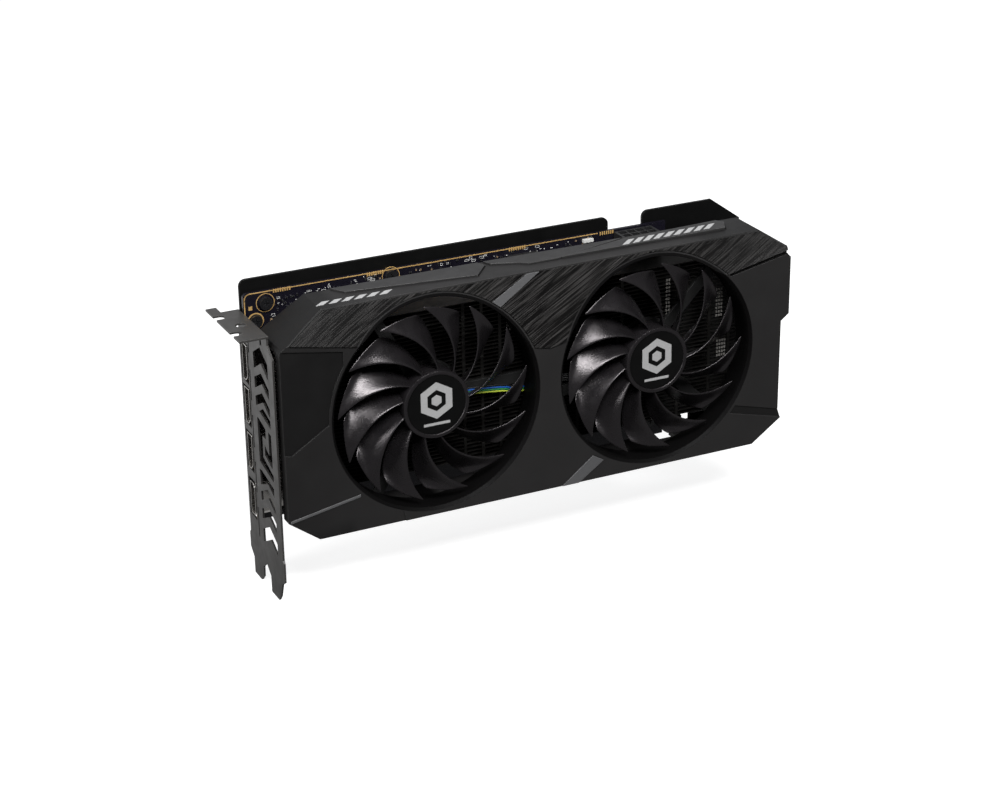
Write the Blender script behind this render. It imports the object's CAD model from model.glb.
import math
import random

import bmesh
import bpy
from mathutils import Matrix, Vector


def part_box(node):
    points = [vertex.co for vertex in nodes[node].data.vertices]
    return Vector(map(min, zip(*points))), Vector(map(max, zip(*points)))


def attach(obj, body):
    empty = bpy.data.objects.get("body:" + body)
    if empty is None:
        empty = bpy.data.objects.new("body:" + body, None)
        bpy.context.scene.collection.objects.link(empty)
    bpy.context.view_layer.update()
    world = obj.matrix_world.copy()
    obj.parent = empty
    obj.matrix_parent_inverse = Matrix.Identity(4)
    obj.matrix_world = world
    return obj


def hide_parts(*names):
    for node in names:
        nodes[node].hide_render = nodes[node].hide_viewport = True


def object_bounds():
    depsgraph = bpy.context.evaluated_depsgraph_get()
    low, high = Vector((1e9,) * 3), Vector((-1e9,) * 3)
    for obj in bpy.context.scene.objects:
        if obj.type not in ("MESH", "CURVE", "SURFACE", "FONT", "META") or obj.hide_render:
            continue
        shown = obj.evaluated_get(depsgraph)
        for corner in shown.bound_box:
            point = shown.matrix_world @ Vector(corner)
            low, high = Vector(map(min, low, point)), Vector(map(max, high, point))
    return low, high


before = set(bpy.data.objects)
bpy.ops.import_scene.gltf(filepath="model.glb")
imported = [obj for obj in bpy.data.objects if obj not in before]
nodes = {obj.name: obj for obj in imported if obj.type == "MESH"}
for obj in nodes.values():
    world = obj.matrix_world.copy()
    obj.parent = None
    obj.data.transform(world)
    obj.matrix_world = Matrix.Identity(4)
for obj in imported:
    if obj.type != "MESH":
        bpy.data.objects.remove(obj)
cad_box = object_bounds()


# ---- Camera ----
# A long lens looks down on the fan side from the left, as a catalogue view does.
# The yaw, pitch and roll are in degrees, and the place is in the card's own frame.
camera_place = Vector((-0.34745, -0.85178, 0.44565))
yaw = math.radians(25.50)
pitch = math.radians(23.23)
roll = math.radians(-0.85)
forward = Vector((math.sin(yaw) * math.cos(pitch), math.cos(yaw) * math.cos(pitch), -math.sin(pitch)))
level_right = forward.cross(Vector((0, 0, 1))).normalized()
level_up = level_right.cross(forward)
right = level_right * math.cos(roll) + level_up * math.sin(roll)
up = level_up * math.cos(roll) - level_right * math.sin(roll)
camera_data = bpy.data.cameras.new("catalogue_camera")
camera_data.sensor_width = 36.0
camera_data.lens = 83.64
camera = bpy.data.objects.new("catalogue_camera", camera_data)
bpy.context.scene.collection.objects.link(camera)
aim = Matrix((right, up, -forward)).transposed().to_4x4()
camera.matrix_world = Matrix.Translation(camera_place) @ aim
bpy.context.scene.camera = camera


# ---- Studio ----
# A pale floor under the card, a white room behind it, and a wide softbox high over the camera.
# The room is dim on the camera's side, so black parts keep their black and their edges still catch light.
def add_node(material, kind, **settings):
    """A new node in a material or world, with its settings given by name."""
    node = material.node_tree.nodes.new(kind)
    for key, value in settings.items():
        setattr(node, key, value)
    return node


def join(material, source, target):
    """A link from one socket to another."""
    material.node_tree.links.new(source, target)


def facing_blend(holder, coordinate, low, high, dim, bright):
    """A number that runs from dim to bright as the depth coordinate goes from low to high."""
    split = add_node(holder, "ShaderNodeSeparateXYZ")
    join(holder, coordinate, split.inputs[0])
    ramp = add_node(holder, "ShaderNodeMapRange", interpolation_type="SMOOTHSTEP")
    for name, value in (("From Min", low), ("From Max", high), ("To Min", dim), ("To Max", bright)):
        ramp.inputs[name].default_value = value
    join(holder, split.outputs["Y"], ramp.inputs["Value"])
    return ramp.outputs["Result"]


def link_object(name, mesh):
    thing = bpy.data.objects.new(name, mesh)
    bpy.context.scene.collection.objects.link(thing)
    return thing


bpy.context.scene.view_settings.view_transform = "Standard"
world = bpy.data.worlds.new("studio_room")
world.use_nodes = True
bpy.context.scene.world = world
room = world.node_tree.nodes["Background"]
seen = add_node(world, "ShaderNodeBackground")
seen.inputs["Strength"].default_value = 1.0
seen.inputs["Color"].default_value = (1, 1, 1, 1)
room.inputs["Color"].default_value = (0.97, 0.98, 1.0, 1)
direction = add_node(world, "ShaderNodeTexCoord")
join(world, facing_blend(world, direction.outputs["Generated"], -0.35, 0.75, 0.08, 0.45),
     room.inputs["Strength"])
ray = add_node(world, "ShaderNodeLightPath")
choice = add_node(world, "ShaderNodeMixShader")
join(world, ray.outputs["Is Camera Ray"], choice.inputs[0])
join(world, room.outputs[0], choice.inputs[1])
join(world, seen.outputs[0], choice.inputs[2])
join(world, choice.outputs[0], world.node_tree.nodes["World Output"].inputs["Surface"])

floor_half_side = 4.0
floor_middle_x = 0.06
floor_gap = 0.0002
floor_mesh = bpy.data.meshes.new("floor")
floor_bm = bmesh.new()
bmesh.ops.create_grid(floor_bm, x_segments=1, y_segments=1, size=floor_half_side)
bmesh.ops.translate(floor_bm, verts=floor_bm.verts, vec=(floor_middle_x, 0, cad_box[0][2] - floor_gap))
floor_bm.to_mesh(floor_mesh)
floor_bm.free()
floor = link_object("floor", floor_mesh)
floor_paper = bpy.data.materials.new("floor_paper")
floor_paper.use_nodes = True
floor_nodes = floor_paper.node_tree.nodes
floor_nodes.remove(floor_nodes["Principled BSDF"])
paper = add_node(floor_paper, "ShaderNodeBsdfDiffuse")
paper.inputs["Color"].default_value = (0.6, 0.6, 0.6, 1)
lift = add_node(floor_paper, "ShaderNodeEmission")
lift.inputs["Strength"].default_value = 0.80
bright_paper = add_node(floor_paper, "ShaderNodeAddShader")
join(floor_paper, paper.outputs[0], bright_paper.inputs[0])
join(floor_paper, lift.outputs[0], bright_paper.inputs[1])
bounce = add_node(floor_paper, "ShaderNodeEmission")
floor_spot = add_node(floor_paper, "ShaderNodeTexCoord")
join(floor_paper, facing_blend(floor_paper, floor_spot.outputs["Object"], -0.15, 0.30, 0.10, 0.85),
     bounce.inputs["Strength"])
floor_ray = add_node(floor_paper, "ShaderNodeLightPath")
floor_choice = add_node(floor_paper, "ShaderNodeMixShader")
join(floor_paper, floor_ray.outputs["Is Camera Ray"], floor_choice.inputs[0])
join(floor_paper, bounce.outputs[0], floor_choice.inputs[1])
join(floor_paper, bright_paper.outputs[0], floor_choice.inputs[2])
join(floor_paper, floor_choice.outputs[0], floor_nodes["Material Output"].inputs["Surface"])
floor.data.materials.append(floor_paper)

card_middle = Vector((0.062, -0.02, 0.05))


def softbox(name, towards, distance, width, height, power):
    """An area light that faces the middle of the card from the given direction."""
    light = bpy.data.lights.new(name, "AREA")
    light.shape = "RECTANGLE"
    light.size = width
    light.size_y = height
    light.energy = power
    lamp = bpy.data.objects.new(name, light)
    bpy.context.scene.collection.objects.link(lamp)
    away = Vector(towards).normalized()
    lamp.location = card_middle + away * distance
    lamp.rotation_euler = away.to_track_quat("Z", "Y").to_euler()


softbox("softbox_over_camera", (-0.05, -0.62, 0.78), 1.1, 0.75, 0.40, 15)
softbox("softbox_left", (-0.95, -0.15, 0.45), 1.0, 0.30, 0.60, 4)


# ---- Slot bracket ----
# Folded steel sheet with a satin black powder coat: a flange with two screw notches, a tall face with
# slanted vents and receptacle windows, and two ears for the board's screws. The coat thins on the edges.
def new_surface(name, colour, roughness, specular=0.5, metallic=0.0):
    """A principled material in one plain colour, to which the functions below add its detail."""
    material = bpy.data.materials.new(name)
    material.use_nodes = True
    shader = material.node_tree.nodes["Principled BSDF"]
    shader.inputs["Base Color"].default_value = (*colour, 1)
    shader.inputs["Roughness"].default_value = roughness
    shader.inputs["Specular IOR Level"].default_value = specular
    shader.inputs["Metallic"].default_value = metallic
    return material


def object_grid(material, stretch=(1, 1, 1), turn=(0, 0, 0)):
    """Object coordinates, turned and then stretched."""
    coordinates = add_node(material, "ShaderNodeTexCoord")
    turned = add_node(material, "ShaderNodeMapping")
    turned.inputs["Rotation"].default_value = [math.radians(a) for a in turn]
    join(material, coordinates.outputs["Object"], turned.inputs["Vector"])
    stretched = add_node(material, "ShaderNodeVectorMath", operation="MULTIPLY")
    stretched.inputs[1].default_value = stretch
    join(material, turned.outputs["Vector"], stretched.inputs[0])
    return stretched.outputs["Vector"]


def noise(material, scale, detail, stretch=(1, 1, 1), turn=(0, 0, 0)):
    """Soft noise on the object coordinates, from 0 to 1."""
    texture = add_node(material, "ShaderNodeTexNoise")
    texture.inputs["Scale"].default_value = scale
    texture.inputs["Detail"].default_value = detail
    join(material, object_grid(material, stretch, turn), texture.inputs["Vector"])
    return texture.outputs["Fac"]


def spread(material, value, low, high, to_low, to_high):
    """A number from one range onto another, clamped."""
    ramp = add_node(material, "ShaderNodeMapRange")
    for name, number in (("From Min", low), ("From Max", high), ("To Min", to_low), ("To Max", to_high)):
        ramp.inputs[name].default_value = number
    join(material, value, ramp.inputs["Value"])
    return ramp.outputs["Result"]


def shade_between(material, factor, dark, light):
    """The base colour goes from dark to light as the factor goes from 0 to 1."""
    mix = add_node(material, "ShaderNodeMix", data_type="RGBA")
    mix.inputs["A"].default_value = (*dark, 1)
    mix.inputs["B"].default_value = (*light, 1)
    join(material, factor, mix.inputs["Factor"])
    shader = material.node_tree.nodes["Principled BSDF"]
    join(material, mix.outputs["Result"], shader.inputs["Base Color"])


def gloss_between(material, factor, low, high):
    """The roughness goes from low to high with a noise, whose middle values do most of the work."""
    shader = material.node_tree.nodes["Principled BSDF"]
    join(material, spread(material, factor, 0.3, 0.7, low, high), shader.inputs["Roughness"])


def relief(material, height, depth, edge=0.0002):
    """A fine relief on the surface, over edges that are rounded by the given radius."""
    rounding = add_node(material, "ShaderNodeBevel", samples=4)
    rounding.inputs["Radius"].default_value = edge
    bump = add_node(material, "ShaderNodeBump")
    bump.inputs["Distance"].default_value = depth
    join(material, height, bump.inputs["Height"])
    join(material, rounding.outputs["Normal"], bump.inputs["Normal"])
    shader = material.node_tree.nodes["Principled BSDF"]
    join(material, bump.outputs["Normal"], shader.inputs["Normal"])


def edge_mask(material, radius):
    """1 on a convex or concave edge and 0 on the flats."""
    rounding = add_node(material, "ShaderNodeBevel", samples=4)
    rounding.inputs["Radius"].default_value = radius
    true_normal = add_node(material, "ShaderNodeNewGeometry")
    dot = add_node(material, "ShaderNodeVectorMath", operation="DOT_PRODUCT")
    join(material, rounding.outputs["Normal"], dot.inputs[0])
    join(material, true_normal.outputs["Normal"], dot.inputs[1])
    return spread(material, dot.outputs["Value"], 0.98, 0.82, 0.0, 1.0)


def lay_over(material, factor, colour):
    """Lays a colour over whatever feeds the base colour, where the factor is 1."""
    shader = material.node_tree.nodes["Principled BSDF"]
    feed = shader.inputs["Base Color"].links[0].from_socket
    mix = add_node(material, "ShaderNodeMix", data_type="RGBA")
    join(material, feed, mix.inputs["A"])
    mix.inputs["B"].default_value = (*colour, 1)
    join(material, factor, mix.inputs["Factor"])
    join(material, mix.outputs["Result"], shader.inputs["Base Color"])


def worn_edges(material, radius, light):
    """Lays a lighter colour over the base colour along the edges."""
    lay_over(material, edge_mask(material, radius), light)


def wears(material, *names):
    """Gives a material to CAD nodes."""
    for name in names:
        nodes[name].material_slots[0].material = material


bracket_coat = new_surface("bracket_coat", (0.045, 0.043, 0.042), 0.40)
shade_between(bracket_coat, noise(bracket_coat, 60, 4), (0.034, 0.0325, 0.0315), (0.052, 0.050, 0.048))
worn_edges(bracket_coat, 0.00022, (0.12, 0.115, 0.112))
gloss_between(bracket_coat, noise(bracket_coat, 180, 2), 0.32, 0.46)
relief(bracket_coat, noise(bracket_coat, 4200, 2), 0.000012, edge=0.00018)
wears(bracket_coat, "io_bracket")


# ---- Screws ----
# Small machine screws in black oxide, and plated ones under the cooler's springs.
# Their heads are turned steel, so the finish is brighter where the tool has rubbed it.
oxide = new_surface("black_oxide", (0.01, 0.01, 0.011), 0.35)
shade_between(oxide, noise(oxide, 900, 3), (0.006, 0.006, 0.007), (0.016, 0.016, 0.017))
worn_edges(oxide, 0.00012, (0.07, 0.07, 0.075))
gloss_between(oxide, noise(oxide, 1500, 2), 0.22, 0.42)
wears(oxide, "bracket_screws", "board_screws", "shroud_screws", "fan_screws")

plated_steel = new_surface("plated_steel", (0.52, 0.52, 0.53), 0.28, metallic=1.0)
shade_between(plated_steel, noise(plated_steel, 700, 3), (0.40, 0.40, 0.41), (0.60, 0.60, 0.61))
relief(plated_steel, noise(plated_steel, 3000, 2), 0.00001, edge=0.0001)
wears(plated_steel, "cooler_screws", "cooler_springs", "fan_1_shaft", "fan_2_shaft")


# ---- Video sockets ----
# Four nickel-plated shells folded from thin sheet stand on the board behind the bracket's windows.
# Each holds a black nylon tongue with its row of contacts.
nickel = new_surface("nickel_shell", (0.70, 0.68, 0.65), 0.22, metallic=1.0)
shade_between(nickel, noise(nickel, 260, 4, stretch=(1, 4, 1)), (0.55, 0.53, 0.50), (0.78, 0.76, 0.73))
worn_edges(nickel, 0.00012, (0.88, 0.87, 0.85))
gloss_between(nickel, noise(nickel, 500, 3, stretch=(1, 6, 1)), 0.16, 0.34)
relief(nickel, noise(nickel, 900, 2, stretch=(1, 8, 1)), 0.000012, edge=0.00012)
wears(nickel, "video_socket_1", "video_socket_2", "video_socket_3", "video_socket_4")

nylon = new_surface("black_nylon", (0.012, 0.012, 0.013), 0.5)
shade_between(nylon, noise(nylon, 300, 3), (0.008, 0.008, 0.009), (0.018, 0.018, 0.019))
worn_edges(nylon, 0.00018, (0.05, 0.05, 0.05))
relief(nylon, noise(nylon, 2500, 2), 0.00002, edge=0.00015)
wears(nylon, "video_tongue_4", "video_tongues", "power_connector", "fan_headers")


# ---- Circuit board ----
# Glass laminate under a dark, slightly violet solder mask, with fine copper traces under the mask.
# Bare copper is gilded: a thin border line, four ridged grounding strips, a pad and rings round the screws.
mask = new_surface("solder_mask", (0.008, 0.007, 0.012), 0.24, specular=0.35)
lanes = add_node(mask, "ShaderNodeTexVoronoi", feature="F1", distance="MANHATTAN")
lanes.inputs["Scale"].default_value = 230
join(mask, object_grid(mask), lanes.inputs["Vector"])
ripple = add_node(mask, "ShaderNodeMath", operation="PINGPONG")
ripple.inputs[1].default_value = 0.09
join(mask, lanes.outputs["Distance"], ripple.inputs[0])
trace_height = spread(mask, ripple.outputs["Value"], 0.035, 0.055, 0.0, 1.0)
shade_between(mask, trace_height, (0.005, 0.0045, 0.008), (0.011, 0.010, 0.017))
relief(mask, trace_height, 0.00003, edge=0.0001)
wears(mask, "circuit_board", "fan_circuits")

gilding = new_surface("gilding", (0.85, 0.60, 0.28), 0.32, metallic=0.35)
shade_between(gilding, noise(gilding, 400, 3), (0.62, 0.38, 0.13), (0.84, 0.55, 0.22))
gloss_between(gilding, noise(gilding, 900, 3), 0.2, 0.42)
relief(gilding, noise(gilding, 2600, 2), 0.00001, edge=0.00005)
wears(gilding, "edge_contacts", "power_pins")

millimetre = 0.001
board_low, board_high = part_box("circuit_board")
face = board_low.y / millimetre
left = board_low.x / millimetre
edge_top = board_high.z / millimetre
gold_front = face - 0.06
sunk = face + 0.02
line_width = 0.45
line_top = edge_top - 0.15
line_left = left + 0.35
line_end_x = 107.0
line_foot = 9.0
corner_centre = (left + 3.2, edge_top - 3.0)
corner_radius = 2.85
corner_steps = 6
ridge_pitch = 1.0
ridge_half_width = 0.28
strip_margin = 0.2
# Each ring is its middle's X and Z, and its inner and outer radius; each strip is where it starts and ends.
screw_rings = ((-48.15, 105.9, 3.8, 4.1), (8.3, 108.0, 3.8, 4.1), (-52.75, 98.6, 3.0, 3.6))
grounding_strips = ((-45.0, -36.5), (-3.0, 5.2), (63.3, 72.0), (107.6, 115.2))


def brick(bm, low, high):
    """A box between two corners, given in millimetres."""
    made = bmesh.ops.create_cube(bm, size=1.0)["verts"]
    low = Vector(low) * millimetre
    high = Vector(high) * millimetre
    bmesh.ops.scale(bm, verts=made, vec=high - low)
    bmesh.ops.translate(bm, verts=made, vec=(low + high) / 2)
    return made


def turn_about_y(bm, verts, angle):
    bmesh.ops.rotate(bm, verts=verts, cent=(0, 0, 0), matrix=Matrix.Rotation(angle, 3, "Y"))


def ring(bm, x, z, y_back, y_front, inner, outer):
    """A flat washer that stands on the board, facing the fans; all in millimetres."""
    section = ((inner, y_back), (outer, y_back), (outer, y_front), (inner, y_front))
    corners = [bm.verts.new(((x + r) * millimetre, y * millimetre, z * millimetre)) for r, y in section]
    sides = [bm.edges.new((corners[i], corners[(i + 1) % 4])) for i in range(4)]
    bmesh.ops.spin(bm, geom=corners + sides, cent=(x * millimetre, 0, z * millimetre), axis=(0, 1, 0),
                   angle=math.tau, steps=48, use_merge=True)


def make_piece(name, bm, material, body, smooth_angle=None):
    """A finished piece at the origin, which rides on a body of the card."""
    mesh = bpy.data.meshes.new(name)
    bm.to_mesh(mesh)
    bm.free()
    if smooth_angle is not None:
        mesh.polygons.foreach_set("use_smooth", [True] * len(mesh.polygons))
        mesh.set_sharp_from_angle(angle=math.radians(smooth_angle))
    mesh.materials.append(material)
    piece = link_object(name, mesh)
    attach(piece, body)
    return piece


gold = bmesh.new()
brick(gold, (corner_centre[0], gold_front, line_top - line_width), (line_end_x, sunk, line_top))
brick(gold, (line_left, gold_front, line_foot), (line_left + line_width, sunk, edge_top - 3.4))
arc_radius = corner_radius - line_width / 2
for step in range(corner_steps):
    angle = math.radians(90 + 90 * (step + 0.5) / corner_steps)
    segment = brick(gold, (-0.42, gold_front, -line_width / 2), (0.42, sunk, line_width / 2))
    turn_about_y(gold, segment, math.pi / 2 - angle)
    segment_middle = Vector((corner_centre[0] + arc_radius * math.cos(angle), 0,
                             corner_centre[1] + arc_radius * math.sin(angle)))
    bmesh.ops.translate(gold, verts=segment, vec=segment_middle * millimetre)
for low_x, high_x in grounding_strips:
    ridges = int((high_x - low_x) / ridge_pitch)
    for i in range(ridges):
        x = low_x + strip_margin + (high_x - low_x - 2 * strip_margin) * (i + 0.5) / ridges
        brick(gold, (x - ridge_half_width, gold_front - 0.12, edge_top - 1.5),
              (x + ridge_half_width, sunk, edge_top + 0.05))
for x, z, inner, outer in screw_rings:
    ring(gold, x, z, sunk, gold_front - 0.02, inner, outer)
brick(gold, (-55.6, gold_front, 103.6), (-53.9, sunk, 105.3))
bmesh.ops.recalc_face_normals(gold, faces=gold.faces)
board_gilding = make_piece("board_gilding", gold, gilding, "root", smooth_angle=35)


# ---- Marks and small parts on the board ----
# White ink outlines and ticks, chip resistors with tinned ends, and tan ceramic capacitors.
# They crowd the strip of board that shows between the shroud and the backplate, and hold no lettering.
ink = new_surface("marking_ink", (0.72, 0.72, 0.70), 0.6)
shade_between(ink, noise(ink, 1500, 3), (0.55, 0.55, 0.54), (0.80, 0.80, 0.78))
tin = new_surface("solder_tin", (0.62, 0.62, 0.63), 0.3, metallic=1.0)
gloss_between(tin, noise(tin, 1200, 3), 0.22, 0.45)
resistor_black = new_surface("resistor_black", (0.012, 0.012, 0.012), 0.4)
gloss_between(resistor_black, noise(resistor_black, 1500, 3), 0.3, 0.5)
ceramic = new_surface("ceramic_tan", (0.30, 0.21, 0.13), 0.45)
shade_between(ceramic, noise(ceramic, 500, 3), (0.24, 0.16, 0.09), (0.36, 0.26, 0.17))
relief(ceramic, noise(ceramic, 3000, 2), 0.00001, edge=0.00006)
wears(ceramic, "ceramic_capacitors")

draw = random.Random(7)
ink_marks = bmesh.new()
tinned_ends = bmesh.new()
dark_chips = bmesh.new()
tan_chips = bmesh.new()
ink_width = 0.14
ink_back = face + 0.01
tick_half_width = 0.12
chip_half_length = 0.5
chip_half_width = 0.28
chip_height = 0.42
core_half_length = 0.275
core_lift = 0.03
ring_clearance = 1.0
# Each patch is its range along X, its range along Z, and how many parts and marks are tried in it.
board_patches = (((-43.0, -20.0), (101.0, 108.0), 46), ((-46.0, -30.0), (93.0, 101.0), 40),
                 ((-20.0, 60.0), (106.5, 109.8), 70), ((60.0, 104.0), (107.0, 109.6), 30))


def outline_mark(x, z, width, height):
    """A thin white ink rectangle round a small part."""
    low_x, high_x = x - width / 2, x + width / 2
    low_z, high_z = z - height / 2, z + height / 2
    side_low, side_high = low_z + ink_width, high_z - ink_width
    for low, high in (((low_x, low_z), (high_x, side_low)), ((low_x, side_high), (high_x, high_z)),
                      ((low_x, side_low), (low_x + ink_width, side_high)),
                      ((high_x - ink_width, side_low), (high_x, side_high))):
        brick(ink_marks, (low[0], gold_front, low[1]), (high[0], ink_back, high[1]))


def chip_part(x, z, upright, core):
    """A chip part with tinned ends, lying along X or along Z; core is the mesh that takes its middle."""
    for low, high, target in ((-chip_half_length, -core_half_length, tinned_ends),
                              (-core_half_length, core_half_length, core),
                              (core_half_length, chip_half_length, tinned_ends)):
        front = face - chip_height - (core_lift if target is core else 0.0)
        if upright:
            brick(target, (x - chip_half_width, front, z + low), (x + chip_half_width, face, z + high))
        else:
            brick(target, (x + low, front, z - chip_half_width), (x + high, face, z + chip_half_width))


def clear_of_gold(x, z):
    return all(math.hypot(x - middle_x, z - middle_z) > outer + ring_clearance
               for middle_x, middle_z, inner, outer in screw_rings)


for (low_x, high_x), (low_z, high_z), count in board_patches:
    for attempt in range(count):
        x = draw.uniform(low_x, high_x)
        z = draw.uniform(low_z, high_z)
        kind = draw.random()
        upright = draw.random() < 0.5
        if not clear_of_gold(x, z):
            continue
        if kind < 0.38:
            chip_part(x, z, upright, dark_chips)
        elif kind < 0.44:
            chip_part(x, z, upright, tan_chips)
        elif kind < 0.64:
            outline_mark(x, z, draw.uniform(0.9, 2.2), draw.uniform(0.7, 1.3))
        else:
            tick = draw.uniform(0.3, 1.1)
            brick(ink_marks, (x - tick / 2, gold_front, z - tick_half_width),
                  (x + tick / 2, ink_back, z + tick_half_width))
# One small white block stands at the board's top edge, left of the power header.
brick(ink_marks, (99.3, face - 1.6, 107.9), (104.2, ink_back, 109.3))
for piece_name, shape, finish, slot in (("board_marks", ink_marks, ink, "pale_strip"),
                                        ("chip_ends", tinned_ends, tin, "nickel_shell"),
                                        ("chip_resistors", dark_chips, resistor_black, "chip_epoxy"),
                                        ("chip_capacitors", tan_chips, ceramic, "chip_ceramic")):
    bmesh.ops.recalc_face_normals(shape, faces=shape.faces)
    make_piece(piece_name, shape, finish, "root")


# ---- Chips, coils and capacitors under the cooler ----
# Moulded epoxy packages, pressed-powder coils, drawn aluminium cans, and the graphics die on its laminate.
# The heat goes through grey paste on the die and soft pads on the rest.
epoxy = new_surface("moulded_epoxy", (0.016, 0.016, 0.017), 0.55)
shade_between(epoxy, noise(epoxy, 500, 3), (0.011, 0.011, 0.012), (0.024, 0.024, 0.025))
relief(epoxy, noise(epoxy, 3500, 2), 0.00001, edge=0.0001)
wears(epoxy, "memory_chips", "power_stages")

powder = new_surface("pressed_powder", (0.07, 0.07, 0.07), 0.65)
shade_between(powder, noise(powder, 1500, 4), (0.045, 0.045, 0.046), (0.10, 0.10, 0.10))
relief(powder, noise(powder, 2500, 3), 0.00003, edge=0.0002)
wears(powder, "inductors")

can = new_surface("drawn_can", (0.66, 0.66, 0.67), 0.3, metallic=1.0)
shade_between(can, noise(can, 150, 3, stretch=(1, 12, 1)), (0.55, 0.55, 0.56), (0.74, 0.74, 0.75))
relief(can, noise(can, 1500, 2), 0.00001, edge=0.0002)
wears(can, "solid_capacitors")

laminate = new_surface("green_laminate", (0.02, 0.07, 0.04), 0.4)
shade_between(laminate, noise(laminate, 600, 3), (0.014, 0.055, 0.030), (0.026, 0.085, 0.048))
wears(laminate, "gpu_package")

silicon = new_surface("silicon", (0.10, 0.11, 0.13), 0.12, specular=0.8)
shade_between(silicon, noise(silicon, 120, 2), (0.08, 0.09, 0.11), (0.13, 0.14, 0.17))
wears(silicon, "gpu_die")

paste = new_surface("thermal_paste", (0.36, 0.36, 0.37), 0.7)
relief(paste, noise(paste, 900, 3), 0.00004, edge=0.0001)
wears(paste, "thermal_paste")

pad = new_surface("thermal_pad", (0.30, 0.34, 0.42), 0.8)
shade_between(pad, noise(pad, 1200, 3), (0.26, 0.30, 0.38), (0.34, 0.38, 0.46))
relief(pad, noise(pad, 1800, 3), 0.00004, edge=0.0002)
wears(pad, "memory_pads", "vrm_pads")


# ---- Cooler ----
# A milled copper plate, a black frame plate, four nickel-plated heat pipes, and a stack of thin pressed
# aluminium fins whose folded tabs line up in columns and catch the light.
copper = new_surface("milled_copper", (0.66, 0.34, 0.20), 0.3, metallic=1.0)
shade_between(copper, noise(copper, 80, 3, stretch=(12, 1, 1)), (0.55, 0.26, 0.14), (0.74, 0.42, 0.26))
relief(copper, noise(copper, 500, 2, stretch=(12, 1, 1)), 0.00001, edge=0.0002)
wears(copper, "cold_plate")

anodised = new_surface("black_anodised", (0.02, 0.02, 0.021), 0.5)
shade_between(anodised, noise(anodised, 200, 3), (0.014, 0.014, 0.015), (0.028, 0.028, 0.029))
relief(anodised, noise(anodised, 3000, 2), 0.00001, edge=0.0002)
wears(anodised, "frame_plate")

pipe_skin = new_surface("pipe_nickel", (0.50, 0.48, 0.45), 0.3, metallic=1.0)
shade_between(pipe_skin, noise(pipe_skin, 250, 4), (0.40, 0.38, 0.35), (0.58, 0.56, 0.53))
gloss_between(pipe_skin, noise(pipe_skin, 700, 3), 0.22, 0.42)
wears(pipe_skin, "heat_pipe_1", "heat_pipe_2", "heat_pipe_3", "heat_pipe_4")

fin_sheet = new_surface("fin_sheet", (0.12, 0.115, 0.11), 0.42, metallic=1.0)
shade_between(fin_sheet, noise(fin_sheet, 120, 4, stretch=(1, 1, 5)),
              (0.06, 0.057, 0.054), (0.13, 0.125, 0.12))
gloss_between(fin_sheet, noise(fin_sheet, 300, 3, stretch=(1, 1, 6)), 0.34, 0.52)
fan_spacing = 0.105
first_fan_x = 0.01135
fin_clear_x = 0.012
fin_dark_x = -0.020


def along(material, axis):
    """The object coordinate along one axis, in metres."""
    coordinates = add_node(material, "ShaderNodeTexCoord")
    split = add_node(material, "ShaderNodeSeparateXYZ")
    join(material, coordinates.outputs["Object"], split.inputs[0])
    return split.outputs[axis]


# The fins grow darker to the left of each fan's shaft.
from_fan = add_node(fin_sheet, "ShaderNodeMath", operation="WRAP")
from_fan.inputs[1].default_value = first_fan_x + fan_spacing / 2
from_fan.inputs[2].default_value = first_fan_x - fan_spacing / 2
join(fin_sheet, along(fin_sheet, "X"), from_fan.inputs[0])
fin_shade = spread(fin_sheet, from_fan.outputs["Value"],
                   first_fan_x + fin_clear_x, first_fan_x + fin_dark_x, 0.0, 0.92)
lay_over(fin_sheet, fin_shade, (0.004, 0.004, 0.004))
wears(fin_sheet, "fin_stack")

tab_sheet = new_surface("tab_sheet", (0.36, 0.35, 0.33), 0.35, metallic=0.5)
shade_between(tab_sheet, noise(tab_sheet, 900, 3), (0.16, 0.155, 0.145), (0.55, 0.53, 0.50))
gloss_between(tab_sheet, noise(tab_sheet, 700, 3), 0.25, 0.5)
fin_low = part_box("fin_stack")[0]
fin_front = fin_low.y / millimetre
lowest_fin = fin_low.z / millimetre
fin_pitch = 1.75
tab_width = 0.75
tab_height = 1.0
tab_step = 1.25
# Each column is its left X, how many tabs stand side by side in it, and its lowest and highest Z.
tab_columns = ((50.2, 3, 84.0, 95.0), (127.7, 2, 76.0, 94.0), (153.2, 3, 71.0, 85.0), (154.0, 4, 52.0, 61.0))
tabs = bmesh.new()
for column_x, across, low_z, high_z in tab_columns:
    z = lowest_fin + math.ceil((low_z - lowest_fin) / fin_pitch) * fin_pitch
    while z < high_z:
        for i in range(across):
            x = column_x + i * tab_step
            brick(tabs, (x, fin_front - 0.08, z), (x + tab_width, fin_front + 0.2, z + tab_height))
        z += fin_pitch
bmesh.ops.recalc_face_normals(tabs, faces=tabs.faces)
fin_tabs = make_piece("fin_tabs", tabs, tab_sheet, "root")


# ---- Backplate ----
# Stamped aluminium sheet in a matt black coat, on brass standoffs behind the board.
# It is cut away for the power plug and vented past the board's end.
plate_coat = new_surface("backplate_coat", (0.004, 0.004, 0.004), 0.48, specular=0.15)
shade_between(plate_coat, noise(plate_coat, 45, 4), (0.003, 0.003, 0.003), (0.0055, 0.0055, 0.0055))
worn_edges(plate_coat, 0.00025, (0.03, 0.03, 0.03))
gloss_between(plate_coat, noise(plate_coat, 150, 3), 0.38, 0.52)
relief(plate_coat, noise(plate_coat, 3800, 2), 0.000012, edge=0.0003)
wears(plate_coat, "backplate")

turned_brass = new_surface("turned_brass", (0.70, 0.52, 0.26), 0.3, metallic=1.0)
relief(turned_brass, noise(turned_brass, 1200, 2, stretch=(1, 8, 1)), 0.00001, edge=0.0001)
wears(turned_brass, "backplate_standoffs")

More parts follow.
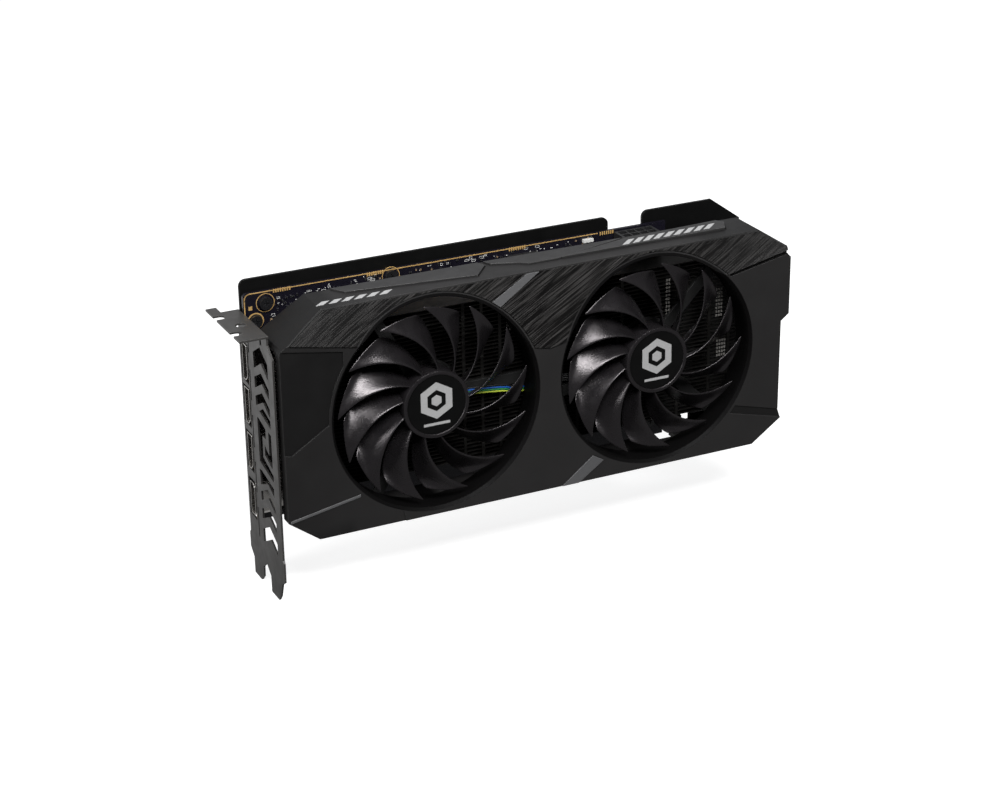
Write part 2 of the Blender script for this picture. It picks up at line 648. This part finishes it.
bronze = new_surface("sintered_bronze", (0.42, 0.28, 0.14), 0.5, metallic=1.0)
relief(bronze, noise(bronze, 3000, 3), 0.00003, edge=0.0001)
wears(bronze, "fan_1_bearing", "fan_2_bearing")

windings = new_surface("lacquered_wire", (0.50, 0.22, 0.09), 0.3, metallic=0.8)
relief(windings, noise(windings, 900, 2, stretch=(1, 10, 1)), 0.0001, edge=0.0001)
wears(windings, "fan_1_stator", "fan_2_stator")

ferrite = new_surface("bonded_ferrite", (0.03, 0.028, 0.026), 0.6)
relief(ferrite, noise(ferrite, 2000, 3), 0.00003, edge=0.0001)
wears(ferrite, "fan_1_magnet", "fan_2_magnet")


# ---- Shroud ----
# One injection-moulded cover in charcoal plastic with a fine spark-eroded texture.
# Its front is flat and upright, with a slope above a shallow crease and round mouths for the fans.
shroud_skin = new_surface("shroud_plastic", (0.018, 0.0175, 0.0178), 0.52, specular=0.38)
shade_between(shroud_skin, noise(shroud_skin, 35, 4), (0.0158, 0.0150, 0.0152), (0.0213, 0.0204, 0.0205))
worn_edges(shroud_skin, 0.00035, (0.038, 0.0365, 0.037))
duct_radius = 0.0476
front_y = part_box("shroud")[0].y
sunk_shade = (0.003, 0.0028, 0.0029)


def fan_axis(number):
    """Where a fan's shaft stands, along X and Z."""
    low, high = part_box(f"fan_{number}_shaft")
    return (low.x + high.x) / 2, (low.z + high.z) / 2


def near_axis(material, x, z, radius):
    """1 nearer than the radius to a fan's axis, and 0 elsewhere."""
    coordinates = add_node(material, "ShaderNodeTexCoord")
    offset = add_node(material, "ShaderNodeVectorMath", operation="SUBTRACT")
    offset.inputs[1].default_value = (x, 0, z)
    join(material, coordinates.outputs["Object"], offset.inputs[0])
    flat = add_node(material, "ShaderNodeVectorMath", operation="MULTIPLY")
    flat.inputs[1].default_value = (1, 0, 1)
    join(material, offset.outputs["Vector"], flat.inputs[0])
    length = add_node(material, "ShaderNodeVectorMath", operation="LENGTH")
    join(material, flat.outputs["Vector"], length.inputs[0])
    return spread(material, length.outputs["Value"], radius + 0.0002, radius - 0.0002, 0.0, 1.0)


def combine(material, operation, first, second):
    """One sum, product or maximum of two numbers."""
    result = add_node(material, "ShaderNodeMath", operation=operation)
    join(material, first, result.inputs[0])
    join(material, second, result.inputs[1])
    return result.outputs["Value"]


# The fan mouths are deep black inside, and so are the cuts at both ends of the front.
in_duct = combine(shroud_skin, "MAXIMUM", near_axis(shroud_skin, *fan_axis(1), duct_radius),
                  near_axis(shroud_skin, *fan_axis(2), duct_radius))
lay_over(shroud_skin, in_duct, (0.0035, 0.0033, 0.0034))
join(shroud_skin, spread(shroud_skin, in_duct, 0.0, 1.0, 0.38, 0.06),
     shroud_skin.node_tree.nodes["Principled BSDF"].inputs["Specular IOR Level"])
gloss_between(shroud_skin, noise(shroud_skin, 90, 3), 0.46, 0.58)
lay_over(shroud_skin, spread(shroud_skin, along(shroud_skin, "X"), -0.008, -0.046, 0.0, 0.45),
         (0.006, 0.0056, 0.0058))
for inner_x, outer_x, strength in ((-0.026, -0.030, 0.8), (0.130, 0.145, 0.75)):
    behind_front = spread(shroud_skin, along(shroud_skin, "Y"), front_y + 0.0002, front_y + 0.0004, 0.0, 1.0)
    outwards = spread(shroud_skin, along(shroud_skin, "X"), inner_x, outer_x, 0.0, strength)
    lay_over(shroud_skin, combine(shroud_skin, "MULTIPLY", behind_front, outwards), sunk_shade)
relief(shroud_skin, noise(shroud_skin, 3200, 3), 0.00003, edge=0.0003)
wears(shroud_skin, "shroud")


# ---- Brushed slope ----
# A thin skin on the slope, printed and embossed with long uneven streaks that all lean the same way.
# Broad streaks and fine ones are added up, and the skin is darker towards both ends.
brushed = new_surface("brushed_skin", (0.012, 0.012, 0.012), 0.40, specular=0.16)
streak_lean = 27.0
end_shade = (0.004, 0.0037, 0.0037)
broad = noise(brushed, 1.0, 3, stretch=(26, 300, 1700), turn=(0, streak_lean, 0))
fine = noise(brushed, 1.0, 3, stretch=(70, 400, 4600), turn=(0, streak_lean, 0))
streak = spread(brushed, combine(brushed, "ADD", broad, fine), 0.95, 1.18, 0.0, 1.0)
shade_between(brushed, streak, (0.0035, 0.0033, 0.0033), (0.050, 0.048, 0.047))
for inner_x, outer_x, strength in ((-0.002, -0.030, 0.6), (0.120, 0.150, 0.5)):
    lay_over(brushed, spread(brushed, along(brushed, "X"), inner_x, outer_x, 0.0, strength), end_shade)
relief(brushed, streak, 0.00003, edge=0.0002)
wears(brushed, "upper_trim")


# ---- Pale strips and top plates ----
# Satin grey inlays between the fans, and raised plates on the top band.
# The plates are moulded apart and clipped on, so thin dark gaps show round them.
strip_skin = new_surface("strip_satin", (0.10, 0.10, 0.103), 0.38)
shade_between(strip_skin, noise(strip_skin, 500, 3, stretch=(1, 1, 6)),
              (0.08, 0.08, 0.083), (0.12, 0.12, 0.123))
worn_edges(strip_skin, 0.0002, (0.22, 0.22, 0.225))
relief(strip_skin, noise(strip_skin, 3000, 2), 0.00001, edge=0.0002)
wears(strip_skin, "accent_strips")

band_skin = new_surface("band_satin", (0.024, 0.0235, 0.0237), 0.42)
shade_between(band_skin, noise(band_skin, 60, 3), (0.021, 0.0205, 0.0207), (0.029, 0.0284, 0.0286))
worn_edges(band_skin, 0.0003, (0.10, 0.098, 0.099))
gloss_between(band_skin, noise(band_skin, 200, 3), 0.36, 0.48)
relief(band_skin, noise(band_skin, 3200, 2), 0.00002, edge=0.0003)
wears(band_skin, "top_plates", "name_plate")


# ---- Silver dashes ----
# Plain slanted dashes printed in silver stand where a maker would print its words:
# a row on the left of the top band and a longer row on the plate at the right.
silver = new_surface("silver_print", (0.62, 0.62, 0.62), 0.4, metallic=0.35)
shade_between(silver, noise(silver, 1200, 3), (0.52, 0.52, 0.52), (0.70, 0.70, 0.70))


dash_fill = 0.62
dash_slant = 1.1
dash_half_height = 0.05
band_top = 111.95
plate_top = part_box("name_plate")[1].z / millimetre


def dash_row(bm, start, end, count, depth, top):
    """Slanted dashes on a level plate, from one point to another; depth is their size along Y."""
    start = Vector(start)
    end = Vector(end)
    half = (end - start).length / count * dash_fill / 2
    for i in range(count):
        at = start.lerp(end, (i + 0.5) / count)
        made = brick(bm, (at.x - half, at.y - depth / 2, top - dash_half_height),
                     (at.x + half, at.y + depth / 2, top + dash_half_height))
        for vert in made:
            vert.co.x += dash_slant * (vert.co.y - at.y * millimetre)


dashes = bmesh.new()
dash_row(dashes, (-36.0, -27.6), (-2.6, -27.6), 6, 3.6, band_top)
dash_row(dashes, (108.0, -22.4), (154.0, -21.0), 9, 5.0, plate_top)
bmesh.ops.recalc_face_normals(dashes, faces=dashes.faces)
silver_dashes = make_piece("silver_dashes", dashes, silver, "root")


# ---- Fans ----
# Each impeller is moulded in one shot of glossy black plastic: a hub with a raised rim and thirteen swept
# blades that end in a point, with a small kinked facet at the outer corner. The frame's arms are behind.
fan_numbers = (1, 2)
fan_z = fan_axis(1)[1] / millimetre
blade_count = 13
blade_starts = (1.4, -7.2)
blade_root = 14.6
blade_tip = 44.3
tip_rake = 4.4
sweep_per_mm = 1.36
kink_depth = 1.6
kink_span = 0.86
kink_across = 0.35
hub_radius = 15.1
hub_back = -29.0
rim_front = -38.5
disc_front = -37.6
disc_back = -36.4
# The hub from its disc's middle over the raised rim to the open back, as radius and Y.
hub_profile = ((0.0, disc_front), (13.35, disc_front), (13.35, rim_front + 0.25), (13.55, rim_front),
               (14.5, rim_front), (14.9, rim_front + 0.15), (hub_radius, rim_front + 0.6),
               (hub_radius, hub_back), (14.1, hub_back), (14.1, disc_back), (0.0, disc_back))
# How the blade changes with its radius: its width in degrees, and the Y of its leading and trailing edges.
chord_stops = ((14.0, 8.5), (21.0, 11.5), (30.0, 17.0), (37.0, 20.0), (45.0, 21.0))
lead_stops = ((14.0, -37.3), (20.0, -37.8), (28.0, -37.8), (36.0, -37.3), (45.0, -36.5))
trail_stops = ((14.0, -30.4), (20.0, -29.8), (28.0, -29.4), (35.0, -29.6), (40.0, -31.6), (45.0, -34.0))
emblem_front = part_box("fan_1_badge")[0].y / millimetre - 0.08
emblem_depth = 0.12
emblem_lift = 1.9
ring_radii = (8.3, 4.8)
core_radius = 2.6
bar_length = 12.0
bar_height = 1.2
bar_z = -8.6

gloss_black = new_surface("impeller_gloss", (0.010, 0.009, 0.010), 0.25, specular=0.75)
gloss_shader = gloss_black.node_tree.nodes["Principled BSDF"]
gloss_shader.inputs["Specular Tint"].default_value = (1.0, 0.94, 0.965, 1)
shade_between(gloss_black, noise(gloss_black, 70, 3), (0.008, 0.0072, 0.0080), (0.013, 0.0118, 0.0130))
gloss_between(gloss_black, noise(gloss_black, 220, 4), 0.22, 0.36)
relief(gloss_black, noise(gloss_black, 1400, 3), 0.00007, edge=0.00008)
frame_plastic = new_surface("frame_plastic", (0.012, 0.012, 0.012), 0.5)
relief(frame_plastic, noise(frame_plastic, 2500, 2), 0.00002, edge=0.0002)
wears(frame_plastic, "fan_1_frame", "fan_2_frame")
badge_foil = new_surface("badge_foil", (0.003, 0.003, 0.003), 0.35, specular=0.25)
gloss_between(badge_foil, noise(badge_foil, 300, 3), 0.3, 0.42)
wears(badge_foil, "fan_1_badge", "fan_2_badge")


def read_stops(radius, stops):
    """Reads a line of (radius, value) stops at a radius."""
    for (x0, y0), (x1, y1) in zip(stops, stops[1:]):
        if radius <= x1:
            return y0 + (y1 - y0) * max(0.0, radius - x0) / (x1 - x0)
    return stops[-1][1]


def blade_place(span, across):
    """A point of the blade at angle 0: span runs from root to tip, and across from front to back edge."""
    outer = blade_tip - tip_rake * across ** 0.9
    radius = blade_root + (outer - blade_root) * span
    angle = math.radians(sweep_per_mm * (radius - hub_radius) - read_stops(radius, chord_stops) * across)
    lead = read_stops(radius, lead_stops)
    trail = read_stops(radius, trail_stops)
    outwards = max(0.0, (span - kink_span) / (1 - kink_span))
    backwards = max(0.0, (across - kink_across) / (1 - kink_across))
    y = lead + (trail - lead) * across ** 1.2 - kink_depth * outwards * backwards
    return Vector((radius * math.cos(angle), y, radius * math.sin(angle)))


def set_on_fan(bm, number):
    """Moves a shape made round the origin in millimetres to a fan's shaft, and brings it to metres."""
    bmesh.ops.translate(bm, verts=bm.verts, vec=(fan_axis(number)[0] / millimetre, 0, fan_z))
    bmesh.ops.scale(bm, verts=bm.verts, vec=(millimetre,) * 3)
    return bm


def build_blades(number, start):
    """One blade as a curved grid, repeated round the hub from its starting angle."""
    bm = bmesh.new()
    bmesh.ops.create_grid(bm, x_segments=14, y_segments=7, size=0.5)
    for vert in bm.verts:
        vert.co = blade_place(vert.co.x + 0.5, 0.5 - vert.co.y)
    single = list(bm.verts) + list(bm.edges) + list(bm.faces)
    for i in range(1, blade_count):
        copy = bmesh.ops.duplicate(bm, geom=single)["geom"]
        turn_about_y(bm, [part for part in copy if isinstance(part, bmesh.types.BMVert)],
                     -math.tau * i / blade_count)
    turn_about_y(bm, bm.verts, -math.radians(start))
    return set_on_fan(bm, number)


def build_hub(number):
    """The hub's profile, spun round the shaft and closed at its seam and poles."""
    bm = bmesh.new()
    verts = [bm.verts.new((r, y, 0)) for r, y in hub_profile]
    edges = [bm.edges.new(pair) for pair in zip(verts, verts[1:])]
    bmesh.ops.spin(bm, geom=verts + edges, cent=(0, 0, 0), axis=(0, 1, 0), angle=math.tau, steps=96,
                   use_merge=True)
    bmesh.ops.remove_doubles(bm, verts=bm.verts, dist=1e-7)
    bmesh.ops.recalc_face_normals(bm, faces=bm.faces)
    return set_on_fan(bm, number)


def build_emblem(number):
    """A plain hexagonal ring round a small hexagon over a short bar, printed on the hub's foil."""
    bm = bmesh.new()
    for radius in ring_radii:
        bmesh.ops.create_circle(bm, segments=6, radius=radius)
    bmesh.ops.bridge_loops(bm, edges=list(bm.edges))
    bmesh.ops.create_circle(bm, segments=6, radius=core_radius, cap_ends=True)
    bmesh.ops.rotate(bm, verts=bm.verts, cent=(0, 0, 0), matrix=Matrix.Rotation(math.pi / 2, 3, "X"))
    bmesh.ops.translate(bm, verts=bm.verts, vec=(0, emblem_front, emblem_lift))
    thickened = bmesh.ops.extrude_face_region(bm, geom=list(bm.faces))["geom"]
    back = [part for part in thickened if isinstance(part, bmesh.types.BMVert)]
    bmesh.ops.translate(bm, verts=back, vec=(0, emblem_depth, 0))
    bar = bmesh.ops.create_cube(bm, size=1.0)["verts"]
    bmesh.ops.scale(bm, verts=bar, vec=(bar_length, emblem_depth, bar_height))
    bmesh.ops.translate(bm, verts=bar, vec=(0, emblem_front + emblem_depth / 2, bar_z))
    bmesh.ops.recalc_face_normals(bm, faces=bm.faces)
    return set_on_fan(bm, number)


for number, start in zip(fan_numbers, blade_starts):
    rotor = f"fan_{number}_rotor"
    hub = make_piece(f"fan_{number}_hub", build_hub(number), gloss_black, rotor, smooth_angle=30)
    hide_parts(f"fan_{number}_impeller")
    blades = make_piece(f"fan_{number}_blades", build_blades(number, start), gloss_black, rotor,
                        smooth_angle=60)
    wall = blades.modifiers.new("wall", "SOLIDIFY")
    wall.thickness = 0.0007
    wall.offset = 0.0
    rounding = blades.modifiers.new("rounding", "SUBSURF")
    rounding.levels = 2
    rounding.render_levels = 2
    emblem = make_piece(f"fan_{number}_emblem", build_emblem(number), silver, rotor)


# ---- Fan leads ----
# Four thin wires side by side run from each motor along an arm, up between the fans and over the fins,
# and end in a header on the board. The first fan's wires are coloured and the second fan's are all black.
wire_radius = 0.00042
wire_pitch = 0.9
points_on_arm = 5
wire_colours = (("yellow", (0.45, 0.55, 0.05)), ("green", (0.02, 0.20, 0.06)),
                ("blue", (0.01, 0.09, 0.38)), ("black", (0.008, 0.008, 0.009)))
lead_end_y = -5.185
lead_routes = (((27.55, -27.9, 61.2), (47.35, -27.9, 59.6), (52.35, -27.9, 57.3), (56.65, -26.5, 57.0),
                (66.2, -26.5, 57.0), (66.2, -26.5, 106.4), (66.2, lead_end_y, 106.4)),
               ((100.7, -27.9, 58.6), (85.35, -27.9, 55.6), (80.35, -27.9, 58.0), (76.35, -26.5, 58.0),
                (72.0, -26.5, 58.0), (72.0, -26.5, 106.4), (72.0, lead_end_y, 106.4)))
wire_skins = {}
for colour_name, colour in wire_colours:
    skin = new_surface(f"{colour_name}_wire", colour, 0.4)
    shade_between(skin, noise(skin, 400, 2), tuple(0.75 * c for c in colour), colour)
    wire_skins[colour_name] = skin

for number, route in zip(fan_numbers, lead_routes):
    riser_x = route[-1][0]
    for order, colour_name in enumerate(wire_skins):
        shift = (order - 1.5) * wire_pitch
        outside = -shift if number == 1 else shift
        wire_line = bpy.data.curves.new(f"fan_{number}_{colour_name}_wire", "CURVE")
        wire_line.dimensions = "3D"
        wire_line.bevel_depth = wire_radius
        wire_line.bevel_resolution = 3
        spline = wire_line.splines.new("NURBS")
        spline.points.add(len(route) - 1)
        for i, (x, y, z) in enumerate(route):
            side = outside if x == riser_x else 0.0
            rise = shift if i < points_on_arm else 0.0
            spline.points[i].co = ((x + side) * millimetre, y * millimetre, (z + rise) * millimetre, 1)
        spline.order_u = 3
        spline.use_endpoint_u = True
        wire_line.materials.append(wire_skins[colour_name if number == 1 else "black"])
        wire = link_object(f"fan_{number}_{colour_name}_wire", wire_line)
        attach(wire, "root")
        if order == 0:
            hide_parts(f"fan_{number}_lead")
